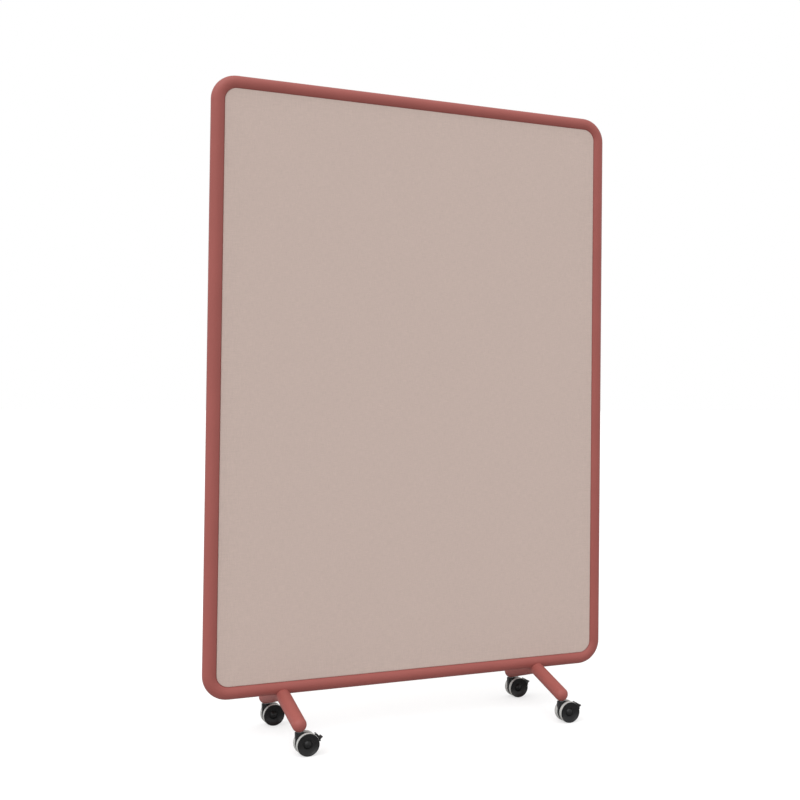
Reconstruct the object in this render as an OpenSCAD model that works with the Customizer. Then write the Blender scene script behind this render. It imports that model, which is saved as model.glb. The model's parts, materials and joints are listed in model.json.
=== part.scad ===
// Rolling room partition: a closed loop of round steel tube carries two upholstered half
// panels, and stands on two bent-tube feet with four braked twin-wheel casters.
// Millimetres. +X runs along the width, the front looks along -Y, +Z is up, and the origin
// is on the floor under the middle of the loop.

/* [Frame loop] */
// Clear width between the two posts
opening_w = 1124; // [800:2:1500]
// Clear height between the bottom and the top rail
opening_h = 1600; // [1200:10:1900]
// Outside diameter of the steel tube of the loop and the feet
tube_d = 38; // [34:1:42]
// Wall of the steel tube
tube_wall = 2; // [1.5:0.1:3]
// Centreline radius of the four corner bends
bend_r = 50; // [44:1:120]
// Length of the sleeve inside each mid-post butt joint
sleeve_l = 80; // [40:5:140]
// Wall of the joint sleeve
sleeve_wall = 2; // [1.5:0.1:3]

/* [Feet] */
// Distance between the two feet
foot_spacing = 770; // [500:2:900]
// Length of a leg's axis from the middle of the foot to its domed end
leg_l = 176.5; // [150:0.5:240]
// Slope of a leg below the horizontal, in degrees
leg_slope = 15; // [11:1:19]
// Centreline radius of the bend in the middle of a foot
foot_bend_r = 70; // [60:1:110]
// Drop from the rail's axis to the crossing of the two leg axes
foot_drop = 17.2; // [12:0.1:22]
// Length of the domed end plug's spigot inside the tube
plug_l = 24; // [18:1:40]

/* [Half panels] */
// Thickness of one core board
core_t = 9; // [8:0.5:14]
// Thickness of the foam pad on each board
pad_t = 2.2; // [1.6:0.1:3.5]
// Thickness of the fabric
cover_t = 0.8; // [0.5:0.1:1.2]
// Gap between the wrapped edge of the panel and the tube
panel_gap = 0.3; // [0.2:0.1:0.6]
// Gap between the edge of a core board and the fabric round it
core_gap = 0.2; // [0.2:0.1:0.5]
// Width of the rolled edge round each face
roll_w = 6; // [4:0.5:10]
// Rise of each face from its rolled edge to its flat middle
crown = 0.4; // [0.2:0.1:0.8]
// Width of the strip along each edge over which the face rises
crown_w = 80; // [40:5:150]

/* [Panel fixings] */
// Thickness of the welded fixing tabs
tab_t = 3; // [2:0.5:4]
// Width of a tab along the tube
tab_w = 40; // [34:1:60]
// Reach of a tab into the panel
tab_reach = 30; // [24:1:45]
// Distance between the two tabs on each post
post_tab_pitch = 1000; // [600:10:1100]
// Distance between the two tabs on each rail
rail_tab_pitch = 560; // [300:10:640]
// Distance between the two screws of a tab
screw_pitch = 22; // [16:1:24]
// Diameter of the tab screws
screw_d = 4; // [3:0.5:5]
// Length of the tab screws under the head
screw_l = 8; // [6:0.5:9]
// Diameter of the screw heads
screw_head_d = 7; // [6:0.5:9]
// Height of the screw heads
screw_head_h = 2.2; // [1.6:0.1:2.6]
// Outside diameter of the push-fit clips that join the two half panels
clip_d = 16; // [14:1:22]
// Diameter of a clip stud's neck
clip_neck_d = 7; // [5:0.5:8]
// Depth of a clip's socket in the rear board
clip_depth = 7; // [6:0.5:7.5]
// Depth of a clip stud's dowel in the front board
dowel_l = 7; // [5:0.5:7.5]
// Distance between the two columns of clips
clip_pitch_x = 560; // [300:10:640]
// Distance between the rows of clips
clip_pitch_z = 520; // [300:10:560]

/* [Casters] */
// Diameter of the wheels over their tyres
wheel_d = 60; // [50:1:75]
// Width of one wheel
wheel_w = 15; // [12:0.5:20]
// Diameter of the moulded disc that closes the outer side of a wheel
disc_d = 58.5; // [56:0.5:59]
// Thickness of the tyre
tyre_t = 4; // [3:0.5:6]
// Thickness of the wheel's moulded walls
wheel_wall = 2.2; // [1.6:0.1:2.8]
// Thickness of the disc's edge beside the tyre
disc_edge = 2.4; // [1.8:0.1:3.4]
// Diameter of the raised boss in the middle of the disc
boss_d = 25; // [20:0.5:28]
// Depth of the dished face at the foot of the boss
dish_depth = 7; // [3:0.5:7.5]
// Thickness of the housing between the two wheels
web_t = 14; // [13:0.5:20]
// Gap between the housing and each wheel
side_gap = 0.5; // [0.3:0.1:1]
// Distance from the swivel axis to the axle
trail = 19.5; // [17:0.5:24]
// Gap between the top of the wheels and the domed end above them
head_gap = 1; // [0.6:0.1:4]
// Diameter of the housing's neck
neck_d = 20; // [18:0.5:24]
// Gap between the housing's rim and the wheel's outer diameter
web_inset = 2.5; // [1.5:0.5:4]
// Diameter of the axle
axle_d = 8; // [6:0.5:9]
// Depth of each axle end in its wheel
axle_grip = 10.5; // [8:0.5:11]

/* [Caster stem] */
// Diameter of the threaded stem
stem_d = 10; // [8:1:12]
// Length of the stem's thread
stem_l = 24; // [18:1:27]
// Diameter of the stem's flange
flange_d = 16; // [14.5:0.5:16.5]
// Thickness of the stem's flange
flange_t = 3.5; // [2.5:0.5:4.5]
// Diameter of the swivel pin below the flange
pin_d = 8; // [6:0.5:9]
// Length of the swivel pin
pin_l = 18.5; // [14:0.5:20]
// Depth of the flat that is faced under each domed end
spot_depth = 1; // [0.8:0.1:1.6]

/* [Brake pedal] */
// Travel of the pedal from free to locked, in degrees
brake_travel = 7; // [5:0.5:8]
// Thickness of the brake shoe and of the pedal's lip
shoe_t = 2.8; // [2:0.2:3.2]
// Width of the brake shoe across the two wheels
shoe_w = 26; // [20:1:34]
// Reach of the pedal's lip beyond the shoe
lip_l = 9; // [6:0.5:14]
// Width of the pedal's lip
lip_w = 20; // [16:1:24]
// Gap between the free shoe and the tyres
shoe_gap = 2.6; // [2:0.1:3.5]
// Thickness of the pedal's arm inside the housing
arm_t = 6; // [4:0.5:7]
// Diameter of the pedal's hinge pin
hinge_d = 3; // [2.5:0.5:4]
// Distance from the wheel's outer diameter in to the pedal's hinge
hinge_inset = 9; // [8:0.5:10]
// Direction of the pedal's hinge above the axle, in degrees from the trailing side
hinge_angle = 68; // [66:1:70]

/* [Hidden] */
SIDES = [-1, 1];
// Name prefix, side along X and side along Y of the four corners
CORNERS = [["lf", -1, -1], ["rf", 1, -1], ["lr", -1, 1], ["rr", 1, 1]];

ROUND = 96;          // facets of a previewed circle, true circles in the exact solids
CORNER_STEPS = 8;    // facets of each rounded corner of the soft parts
OVER = 1;            // overrun of a cutter past the face that it opens
RUNNING = 0.05;      // radial clearance of a running fit
LOOSE = 0.4;         // clearance round a part that is only let in

function tenth(x) = round(x * 10) / 10;

tube_r = tube_d / 2;
bore_r = tube_r - tube_wall;

// Heights, from the floor up; the rail's is kept to a tenth so that all bends meet their bars
wheel_r = wheel_d / 2;
plug_z = wheel_d + head_gap + tube_r;
leg_reach = leg_l * cos(leg_slope);
leg_cross_z = plug_z + leg_l * sin(leg_slope);
rail_z = tenth(leg_cross_z + foot_drop);
loop_w = opening_w + tube_d;
loop_h = opening_h + tube_d;
mid_z = rail_z + loop_h / 2;

// Loop and foot bends
leg_bend_l = foot_bend_r * tan(leg_slope);
foot_arc_z = leg_cross_z - foot_bend_r / cos(leg_slope);

// Half panels: the outline is inset from the opening, whose corners have this radius
corner_r = bend_r - tube_r;
side_inset = panel_gap + cover_t;
core_inset = side_inset + core_gap;
hem_y = tab_t / 2 + LOOSE;
panel_y = core_t + pad_t + cover_t;
roll_steps = 4;
least_r = 1;

// Fixings
screw_in = tab_reach - screw_head_d;
clip_r = clip_d / 2;
clip_neck_r = clip_neck_d / 2;
clip_snap = 1.1;             // the bulb reaches this far behind the socket's lip
clip_bulb_r = clip_neck_r + clip_snap;
clip_base_t = 1.5;
clip_lip_t = 3.2;
clip_bevel = 1;

// Stem and swivel, from the domed end down
spot_z = plug_z - tube_r + spot_depth;
flange_z = spot_z - flange_t;
pin_end_z = flange_z - pin_l;
pin_groove = [2, 1.2, 0.6];   // height above the pin's end, width and depth
thread_bevel = 1;
stem_r = stem_d / 2;
pin_r = pin_d / 2;
flange_r = flange_d / 2;
neck_r = neck_d / 2;
end_gap = 0.8;               // running gap under the domed end
flange_gap = 0.3;            // running gap under the flange
neck_top_z = spot_z - end_gap;
seat_z = flange_z - flange_gap;

// Wheels and axle
web_y = web_t / 2;
wheel_y = web_y + side_gap;
axle_r = axle_d / 2;
web_r = wheel_r - web_inset;
rim_r = wheel_r - tyre_t;
thrust_gap = 0.2;            // running gap beside each wheel's hub
thrust_w = 3;
thrust_r = axle_r + thrust_w;
thrust_t = side_gap - thrust_gap;
axle_bevel = 0.5;
hub_wall = 3.5;
rim_gap = 0.4;               // the rim and the tyre stand back this far from the hub's end
rib_t = 1.6;
ribs = 8;
tyre_shoulder = 2;
boss_edge_r = 1.6;
boss_rise = 0.7;             // doming of the boss from its edge to its middle
boss_draft = 0.5;            // the boss widens this much from its edge to its foot
bead_spread = 2.4;           // width of the disc's rounded edge over its radius

// Housing: angle of the heel behind the axle, and height of the neck's foot above the axle
heel_angle = 171;
heel_inset = 0.8;
neck_foot = 15;

// Brake, drawn free: the shoe spans these angles about the axle
hinge_r = hinge_d / 2;
hinge_at = (wheel_r - hinge_inset) * [cos(hinge_angle), sin(hinge_angle)];
hinge_hub_wall = 2.6;
hinge_hub_r = hinge_r + hinge_hub_wall;
shoe_in_r = wheel_r + shoe_gap;
shoe_from = 16;
shoe_to = 58;
lip_angle = 20;
arm_flanks = [150, -60];     // directions in which the arm's two sides leave its hub
arm_root_inset = 1.2;
arm_root_r = hinge_hub_r - arm_root_inset;
arm_foot = [shoe_from + 6, shoe_to - 2];   // where the two sides meet the shoe
slot_from = -51 - brake_travel;   // directions from the hinge between which the slot is open
slot_to = 70;
slot_reach = 42;

function arc(center, r, from, to, steps) =
    [for (i = [0:steps]) let (a = from + (to - from) * i / steps)
        center + r * [cos(a), sin(a)]];

// ---------------------------------------------------------------- steel frame

// A solid bar along one half of the loop: rail, two bends and two half posts
module half_loop_bar(r, over) {
    straight_x = loop_w / 2 - bend_r;
    top_z = mid_z + loop_h / 2;
    translate([-straight_x, 0, top_z]) rotate([0, 90, 0]) cylinder(h = 2 * straight_x, r = r, $fn = ROUND);
    for (side = SIDES) {
        translate([side * straight_x, 0, top_z - bend_r]) rotate([90, 0, 0])
            rotate([0, 0, side > 0 ? 0 : 90]) rotate_extrude(angle = 90, $fn = ROUND)
                translate([bend_r, 0]) circle(r = r, $fn = ROUND);
        translate([side * loop_w / 2, 0, mid_z - over])
            cylinder(h = loop_h / 2 - bend_r + over, r = r, $fn = ROUND);
    }
}

module half_loop_tube() {
    difference() {
        half_loop_bar(tube_r, 0);
        half_loop_bar(bore_r, OVER);
    }
}

module frame_upper() {
    color("#a5645f") half_loop_tube();
}

module frame_lower() {
    color("#a5645f") translate([0, 0, 2 * mid_z]) mirror([0, 0, 1]) half_loop_tube();
}

// Sleeves inside the two butt joints half way up the posts
module frame_sleeves() {
    color("silver") for (side = SIDES) translate([side * loop_w / 2, 0, mid_z - sleeve_l / 2])
        difference() {
            cylinder(h = sleeve_l, r = bore_r, $fn = ROUND);
            translate([0, 0, -OVER]) cylinder(h = sleeve_l + 2 * OVER, r = bore_r - sleeve_wall, $fn = ROUND);
        }
}

// Places children at the eight tabs, local +X pointing from the tube into the opening
module at_tabs() {
    for (side = SIDES, end = SIDES) {
        translate([side * opening_w / 2, 0, mid_z + end * post_tab_pitch / 2])
            rotate([0, side > 0 ? 180 : 0, 0]) children();
        translate([side * rail_tab_pitch / 2, 0, mid_z + end * opening_h / 2])
            rotate([0, end * 90, 0]) children();
    }
}

// Places children at the screws of a tab, local +Y pointing to the rear
module at_tab_screws() {
    at_tabs() for (side = SIDES) translate([screw_in, 0, side * screw_pitch / 2]) children();
}

// A round bar along Y, from y_from to y_to
module y_bar(r, y_from, y_to) {
    translate([0, y_to, 0]) rotate([90, 0, 0]) cylinder(h = y_to - y_from, r = r, $fn = ROUND);
}

// Steel tabs coped to the tube and welded to its inner side
module frame_tabs() {
    color("#8d4d49") difference() {
        at_tabs() difference() {
            translate([-tube_wall, -tab_t / 2, -tab_w / 2]) cube([tab_reach + tube_wall, tab_t, tab_w]);
            translate([-tube_r, 0, -tab_w]) cylinder(h = 2 * tab_w, r = tube_r, $fn = ROUND);
        }
        at_tab_screws() y_bar(screw_d / 2 + RUNNING, -tab_t, tab_t);
    }
}

// ---------------------------------------------------------------- feet

// A solid bar along a foot: the bend and the two sloping legs, drawn about the bend's centre
module foot_bar(r, over) {
    translate([0, 0, foot_arc_z]) rotate([90, 0, 90]) {
        rotate([0, 0, 90 - leg_slope]) rotate_extrude(angle = 2 * leg_slope, $fn = ROUND)
            translate([foot_bend_r, 0]) circle(r = r, $fn = ROUND);
        for (side = SIDES) rotate([0, 0, -side * leg_slope]) translate([0, foot_bend_r, 0])
            rotate([0, side * 90, 0]) cylinder(h = leg_l - leg_bend_l + over, r = r, $fn = ROUND);
    }
}

// Faces the flat under a domed end and clears the stem's way through it
module stem_cut(r) {
    translate([0, 0, spot_z - 2 * spot_depth - OVER])
        cylinder(h = 2 * spot_depth + OVER, r = tube_r / 2, $fn = ROUND);
    translate([0, 0, spot_z - OVER]) cylinder(h = stem_l + 2 * OVER, r = r, $fn = ROUND);
}

// One bent tube, coped under the bottom rail and notched for the two stems
module foot() {
    color("#a5645f") difference() {
        foot_bar(tube_r, 0);
        foot_bar(bore_r, OVER);
        translate([-tube_d, 0, rail_z]) rotate([0, 90, 0]) cylinder(h = 2 * tube_d, r = tube_r, $fn = ROUND);
        for (side = SIDES) translate([0, side * leg_reach, 0]) intersection() {
            stem_cut(stem_r + RUNNING);
            translate([-tube_r, -tube_r, 0]) cube([tube_d, tube_d, plug_z]);
        }
    }
}

module left_foot() {
    translate([-foot_spacing / 2, 0, 0]) foot();
}

module right_foot() {
    translate([foot_spacing / 2, 0, 0]) foot();
}

// Domed plug that closes a leg: half a sphere, a spigot in the tube and the stem's thread
module end_plug(side_y) {
    color("#a5645f") difference() {
        translate([0, 0, plug_z]) rotate([side_y * (90 - leg_slope), 0, 0]) {
            difference() {
                sphere(r = tube_r, $fn = ROUND);
                translate([-tube_d, -tube_d, 0]) cube(2 * tube_d);
            }
            cylinder(h = plug_l, r = bore_r, $fn = ROUND);
        }
        stem_cut(stem_r);
    }
}

// ---------------------------------------------------------------- half panels

// Rounded outline of the opening, inset all round, as true arcs
module board_outline(inset) {
    w = opening_w - 2 * inset;
    h = opening_h - 2 * inset;
    r = corner_r - inset;
    square([w - 2 * r, h], center = true);
    square([w, h - 2 * r], center = true);
    for (x = SIDES, z = SIDES) translate([x * (w / 2 - r), z * (h / 2 - r)]) circle(r = r, $fn = ROUND);
}

// One core board lying on the middle plane, rearwards for side 1 and frontwards for side -1
module core_board(side) {
    difference() {
        translate([0, 0, mid_z]) rotate([90, 0, 0])
            translate([0, 0, side > 0 ? -core_t : 0]) linear_extrude(core_t) board_outline(core_inset);
        at_tabs() translate([-OVER, -tab_t / 2, -tab_w / 2 - LOOSE])
            cube([tab_reach + LOOSE + OVER, tab_t, tab_w + 2 * LOOSE]);
    }
}

module at_clips() {
    for (x = SIDES, row = [-1, 0, 1])
        translate([x * clip_pitch_x / 2, 0, mid_z + row * clip_pitch_z]) children();
}

module front_core() {
    color("tan") difference() {
        core_board(-1);
        at_tab_screws() y_bar(screw_d / 2, tab_t / 2 - screw_l, 0);
        at_clips() {
            y_bar(clip_r, -clip_base_t, OVER);
            y_bar(clip_neck_r, -dowel_l, 0);
        }
    }
}

module rear_core() {
    color("tan") difference() {
        core_board(1);
        at_tab_screws() y_bar(screw_head_d / 2 + LOOSE, 0, tab_t / 2 + screw_head_h + LOOSE);
        at_clips() y_bar(clip_r, -OVER, clip_depth);
    }
}

// Points of the rounded outline at one inset and depth, counted round once
function outline_ring(inset, y) = [
    for (quarter = [0:3], i = [0:CORNER_STEPS])
        let (a = 90 * (quarter + i / CORNER_STEPS),
             sx = (quarter == 0 || quarter == 3) ? 1 : -1,
             sz = quarter < 2 ? 1 : -1,
             r = max(corner_r - inset, least_r),
             x = opening_w / 2 - inset - r,
             z = opening_h / 2 - inset - r)
        [sx * x + r * cos(a), y, mid_z + sz * z + r * sin(a)]
];

// Rings of the padded face, from the side up over the rolled edge to the flat middle;
// skin is 0 on the foam and the fabric's thickness on its outer side
function face_rings(skin) = concat(
    [for (i = [0:roll_steps])
        let (a = 90 * i / roll_steps, w = roll_w - cover_t + skin, d = pad_t - crown + skin)
        outline_ring(side_inset - skin + w * (1 - cos(a)), core_t + d * sin(a))],
    [outline_ring(side_inset + crown_w, core_t + pad_t + skin)]
);

function reversed(list) = [for (i = [len(list) - 1:-1:0]) list[i]];

// Closed solid through a list of rings of equal count
module loft(rings) {
    n = len(rings[0]);
    last = len(rings) - 1;
    polyhedron(
        points = [for (ring = rings, p = ring) p],
        faces = concat(
            [[for (i = [0:n - 1]) i]],
            [for (k = [0:last - 1], i = [0:n - 1])
                [k * n + i, (k + 1) * n + i, (k + 1) * n + (i + 1) % n, k * n + (i + 1) % n]],
            [[for (i = [n - 1:-1:0]) last * n + i]]
        )
    );
}

// Foam with a rolled edge and a crowned face, on the rear side
module pad() {
    color("gainsboro") loft(reversed(face_rings(0)));
}

// Fabric over the foam and round the board's edge, down to a hem beside the tabs
module cover() {
    color("#c2aea5") loft(concat(
        reversed(face_rings(cover_t)),
        [outline_ring(panel_gap, hem_y), outline_ring(side_inset, hem_y)],
        face_rings(0)
    ));
}

module rear_pad() {
    pad();
}

module front_pad() {
    mirror([0, 1, 0]) pad();
}

module rear_cover() {
    cover();
}

module front_cover() {
    mirror([0, 1, 0]) cover();
}

// ---------------------------------------------------------------- panel fixings

// Pan-head screws, driven from the rear through the tabs into the front board
module tab_screws() {
    color("silver") at_tab_screws() {
        y_bar(screw_d / 2, tab_t / 2 - screw_l, tab_t / 2);
        y_bar(screw_head_d / 2, tab_t / 2, tab_t / 2 + screw_head_h);
    }
}

// Turns a profile of [radius, depth] points about the Y axis
module turned(profile) {
    rotate([-90, 0, 0]) rotate_extrude($fn = ROUND) polygon(profile);
}

// Studs whose dowels sit in the front board and whose bulbs snap into the sockets
module clip_studs() {
    bulb_y = clip_lip_t + clip_bevel + LOOSE;
    tip_r = clip_neck_r - clip_bevel;
    color("white") at_clips() turned([
        [0, -dowel_l], [tip_r, -dowel_l], [clip_neck_r, clip_bevel - dowel_l],
        [clip_neck_r, -clip_base_t], [clip_r, -clip_base_t], [clip_r, 0],
        [clip_neck_r, 0], [clip_neck_r, bulb_y - clip_bevel], [clip_bulb_r, bulb_y],
        [tip_r, clip_depth - LOOSE], [0, clip_depth - LOOSE]
    ]);
}

// Sockets let into the rear board
module clip_sockets() {
    mouth_r = clip_neck_r + LOOSE;
    chamber_r = clip_bulb_r + LOOSE;
    color("white") at_clips() turned([
        [mouth_r, 0], [clip_r, 0], [clip_r, clip_depth],
        [chamber_r, clip_depth], [chamber_r, clip_lip_t], [mouth_r, clip_lip_t - clip_bevel]
    ]);
}

// ---------------------------------------------------------------- casters
// Each module is drawn about the caster's own swivel axis, with the axle trailing along +X

module at_corner(corner) {
    translate([corner[1] * foot_spacing / 2, corner[2] * leg_reach, 0]) children();
}

module at_axle() {
    translate([trail, 0, wheel_r]) children();
}

module at_hinge() {
    at_axle() translate([hinge_at[0], 0, hinge_at[1]]) children();
}

// A flat shape drawn in X and Z, thick along Y and centred on the swivel axis
module upright(thickness) {
    rotate([90, 0, 0]) linear_extrude(thickness, center = true) children();
}

// Threaded stem, flange and swivel pin with its snap groove, turned from one bar
module stem() {
    groove_z = pin_end_z + pin_groove[0];
    groove_top_z = groove_z + pin_groove[1];
    groove_r = pin_r - pin_groove[2];
    stem_end_z = spot_z + stem_l;
    color("gainsboro") rotate_extrude($fn = ROUND) polygon([
        [0, pin_end_z], [groove_r, pin_end_z], [pin_r, pin_end_z + pin_groove[2]], [pin_r, groove_z],
        [groove_r, groove_z], [groove_r, groove_top_z], [pin_r, groove_top_z],
        [pin_r, flange_z], [flange_r, flange_z], [flange_r, spot_z], [stem_r, spot_z],
        [stem_r, stem_end_z - thread_bevel], [stem_r - thread_bevel, stem_end_z], [0, stem_end_z]
    ]);
}

// Outline of the housing's web: a disc round the axle and the shoulder under the neck
module web_outline() {
    translate([trail, wheel_r]) circle(r = web_r, $fn = ROUND);
    heel = [trail, wheel_r] + (web_r - heel_inset) * [cos(heel_angle), sin(heel_angle)];
    polygon([
        [-neck_r, neck_top_z], [neck_r, neck_top_z], [neck_r, wheel_r], heel, [-neck_r, wheel_r + neck_foot]
    ]);
}

// Slot between the housing's cheeks in which the pedal's arm swings
module arm_slot() {
    upright(arm_t + LOOSE) translate([trail, wheel_r] + hinge_at) {
        circle(r = hinge_hub_r + LOOSE, $fn = ROUND);
        polygon(concat([[0, 0]], arc([0, 0], slot_reach, slot_from, slot_to, 4)));
    }
}

// Moulded housing: web between the wheels, round neck, bearing bore and axle seat
module housing() {
    color("#2b2b2d") difference() {
        union() {
            upright(web_t) web_outline();
            difference() {
                translate([0, 0, wheel_r]) cylinder(h = neck_top_z - wheel_r, r = neck_r, $fn = ROUND);
                for (side = SIDES) at_axle() translate([0, side * (web_y + wheel_w / 2), 0])
                    y_bar(wheel_r + LOOSE, -wheel_w / 2, wheel_w / 2);
            }
            at_axle() y_bar(thrust_r, -web_y - thrust_t, web_y + thrust_t);
        }
        translate([0, 0, seat_z]) cylinder(h = neck_top_z, r = flange_r + LOOSE, $fn = ROUND);
        translate([0, 0, pin_end_z - LOOSE]) cylinder(h = seat_z, r = pin_r + RUNNING, $fn = ROUND);
        at_axle() y_bar(axle_r, -web_t, web_t);
        at_hinge() y_bar(hinge_r, -web_t, web_t);
        arm_slot();
    }
}

module axle() {
    end_y = wheel_y + axle_grip;
    color("silver") at_axle() turned([
        [0, -end_y], [axle_r - axle_bevel, -end_y], [axle_r, axle_bevel - end_y],
        [axle_r, end_y - axle_bevel], [axle_r - axle_bevel, end_y], [0, end_y]
    ]);
}

module hinge_pin() {
    color("silver") at_hinge() y_bar(hinge_r, -web_y, web_y);
}

// Wheel body about the Y axis, its open side at depth 0 and its dished disc outwards
module wheel_body() {
    edge_r = disc_edge / 2;
    boss_r = boss_d / 2;
    boss_y = wheel_w - boss_rise;
    dish_y = wheel_w - dish_depth;
    floor_y = dish_y - wheel_wall;
    bore_r = axle_r + RUNNING;
    bore_y = axle_grip + LOOSE;
    inner_r = rim_r - wheel_wall;
    turned(concat(
        [[0, bore_y], [0, wheel_w - LOOSE], [boss_r - 2 * boss_edge_r, boss_y]],
        arc([boss_r - boss_edge_r, boss_y - boss_edge_r], boss_edge_r, 80, 0, 4),
        [[boss_r + boss_draft, dish_y], [boss_r + wheel_wall, dish_y]],
        [[disc_d / 2 - bead_spread * edge_r, wheel_w - edge_r]],
        arc([disc_d / 2 - edge_r, wheel_w - edge_r], edge_r, 120, 0, 6),
        [[disc_d / 2, wheel_w - disc_edge], [rim_r, wheel_w - disc_edge], [rim_r, rim_gap],
         [inner_r, rim_gap], [inner_r, wheel_w - disc_edge - wheel_wall], [boss_r + wheel_wall, floor_y],
         [axle_r + hub_wall, floor_y], [axle_r + hub_wall, 0], [bore_r, 0], [bore_r, bore_y]]
    ));
    for (i = [1:ribs]) rotate([0, 360 * i / ribs, 0])
        translate([axle_r + hub_wall - OVER, rim_gap, -rib_t / 2])
            cube([inner_r - axle_r - hub_wall + 2 * OVER, floor_y - rim_gap + OVER, rib_t]);
}

// Soft tyre with rounded shoulders, seated on the rim against the disc's edge
module tyre_body() {
    out_y = wheel_w - disc_edge;
    mid_r = wheel_r - tyre_shoulder;
    turned(concat(
        [[rim_r, rim_gap]],
        arc([mid_r, rim_gap + tyre_shoulder], tyre_shoulder, -90, 0, 4),
        arc([mid_r, out_y - tyre_shoulder], tyre_shoulder, 0, 90, 4),
        [[rim_r, out_y]]
    ));
}

module wheel(side_y) {
    color("#1c1c1e") at_axle() mirror([0, side_y < 0 ? 1 : 0, 0]) translate([0, wheel_y, 0]) wheel_body();
}

module tyre(side_y) {
    color("#b9b9b6") at_axle() mirror([0, side_y < 0 ? 1 : 0, 0]) translate([0, wheel_y, 0]) tyre_body();
}

// Pedal in its free place: hub and arm in the slot, shoe over both tyres, lip outwards
module brake_pedal() {
    shoe_out_r = shoe_in_r + shoe_t;
    lip_root = shoe_out_r - shoe_t / 2;
    color("#2b2b2d") difference() {
        at_axle() {
            rotate([90, 0, 0]) rotate([0, 0, shoe_from])
                rotate_extrude(angle = shoe_to - shoe_from, $fn = ROUND)
                    translate([shoe_in_r, -shoe_w / 2]) square([shoe_t, shoe_w]);
            upright(lip_w) rotate(lip_angle) {
                translate([lip_root, -shoe_t / 2]) square([lip_l, shoe_t]);
                translate([lip_root + lip_l, 0]) circle(r = shoe_t / 2, $fn = ROUND);
            }
            upright(arm_t) polygon(concat(
                [for (a = arm_flanks) hinge_at + arm_root_r * [cos(a), sin(a)]],
                [for (a = arm_foot) lip_root * [cos(a), sin(a)]]
            ));
            upright(arm_t) translate(hinge_at) circle(r = hinge_hub_r, $fn = ROUND);
        }
        at_hinge() y_bar(hinge_r + RUNNING, -web_t, web_t);
    }
}

// ---------------------------------------------------------------- nodes

frame_upper();
frame_lower();
frame_sleeves();
frame_tabs();
left_foot();
right_foot();
front_core();
rear_core();
front_pad();
rear_pad();
front_cover();
rear_cover();
tab_screws();
clip_studs();
clip_sockets();
for (corner = CORNERS) at_corner(corner) {
    end_plug(corner[2]);
    stem();
    housing();
    axle();
    wheel(-1);
    tyre(-1);
    wheel(1);
    tyre(1);
    brake_pedal();
    hinge_pin();
}
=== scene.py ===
"""Looks of a rolling room partition: a round-tube loop with two upholstered half panels,
bent-tube feet and four braked twin-wheel casters. Metres, +X along the width, front to -Y."""

import json
import math

import bmesh
import bpy
from mathutils import Matrix, Vector


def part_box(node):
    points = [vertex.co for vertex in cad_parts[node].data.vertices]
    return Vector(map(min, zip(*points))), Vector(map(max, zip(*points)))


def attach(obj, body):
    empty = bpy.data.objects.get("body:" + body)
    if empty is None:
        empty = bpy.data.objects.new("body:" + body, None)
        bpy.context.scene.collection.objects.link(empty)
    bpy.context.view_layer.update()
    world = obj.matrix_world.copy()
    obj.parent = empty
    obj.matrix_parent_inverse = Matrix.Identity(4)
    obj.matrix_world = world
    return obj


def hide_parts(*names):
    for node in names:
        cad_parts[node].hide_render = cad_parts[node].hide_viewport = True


bl_info = {
    "name": "Rolling Room Partition",
    "version": (1, 0, 0),
    "blender": (4, 5, 0),
    "location": "View3D > Sidebar > Partition",
    "description": "Upholstery, welds, caster details, finishes and stage of a rolling partition",
    "category": "Add Mesh",
}

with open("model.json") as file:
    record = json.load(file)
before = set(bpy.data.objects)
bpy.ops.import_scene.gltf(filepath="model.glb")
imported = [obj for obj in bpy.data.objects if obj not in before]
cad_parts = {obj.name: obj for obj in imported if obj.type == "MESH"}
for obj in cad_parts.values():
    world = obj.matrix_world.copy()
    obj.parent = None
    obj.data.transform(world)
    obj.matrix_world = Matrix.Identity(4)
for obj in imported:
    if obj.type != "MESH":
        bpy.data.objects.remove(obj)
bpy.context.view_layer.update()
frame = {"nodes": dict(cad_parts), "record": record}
SCREEN = "screen"
CORNERS = ("lf", "rf", "lr", "rr")
SIDES = {"front": -1, "rear": 1}


# ---------------------------------------------------------------- sizes and colours

class PanelSettings(bpy.types.PropertyGroup):
    """The two upholstered half panels"""
    corner_radius: bpy.props.FloatProperty(
        name="Corner Radius", description="Radius of the panel's corners in its middle plane",
        default=0.0307, min=0.01, max=0.1, unit="LENGTH")
    roll_width: bpy.props.FloatProperty(
        name="Rolled Edge", description="Radius with which each face rolls over against the tube",
        default=0.0014, min=0.0009, max=0.004, unit="LENGTH")
    crown: bpy.props.FloatProperty(
        name="Crown", description="Rise of the face from its rolled edge to its middle",
        default=0.0004, min=0.0, max=0.003, unit="LENGTH")
    crown_width: bpy.props.FloatProperty(
        name="Crown Width", description="Width of the strip over which the face rises",
        default=0.08, min=0.02, max=0.2, unit="LENGTH")
    cloth_thickness: bpy.props.FloatProperty(
        name="Cloth Thickness", description="Thickness of the woven cover",
        default=0.0007, min=0.0003, max=0.0012, unit="LENGTH")
    thread_pitch: bpy.props.FloatProperty(
        name="Thread Pitch", description="Distance between neighbouring threads of the weave",
        default=0.0011, min=0.0004, max=0.004, unit="LENGTH")
    pucker: bpy.props.FloatProperty(
        name="Corner Pucker", description="Depth of the small gathers round each corner",
        default=0.00022, min=0.0, max=0.001, unit="LENGTH")
    cloth_colour: bpy.props.FloatVectorProperty(
        name="Cloth", description="Colour of the woven cover",
        default=(0.583, 0.462, 0.412), min=0.0, max=1.0, subtype="COLOR")
    foam_colour: bpy.props.FloatVectorProperty(
        name="Foam", description="Colour of the foam under the cover",
        default=(0.72, 0.7, 0.62), min=0.0, max=1.0, subtype="COLOR")
    board_colour: bpy.props.FloatVectorProperty(
        name="Board", description="Colour of the core boards",
        default=(0.42, 0.29, 0.17), min=0.0, max=1.0, subtype="COLOR")


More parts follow.
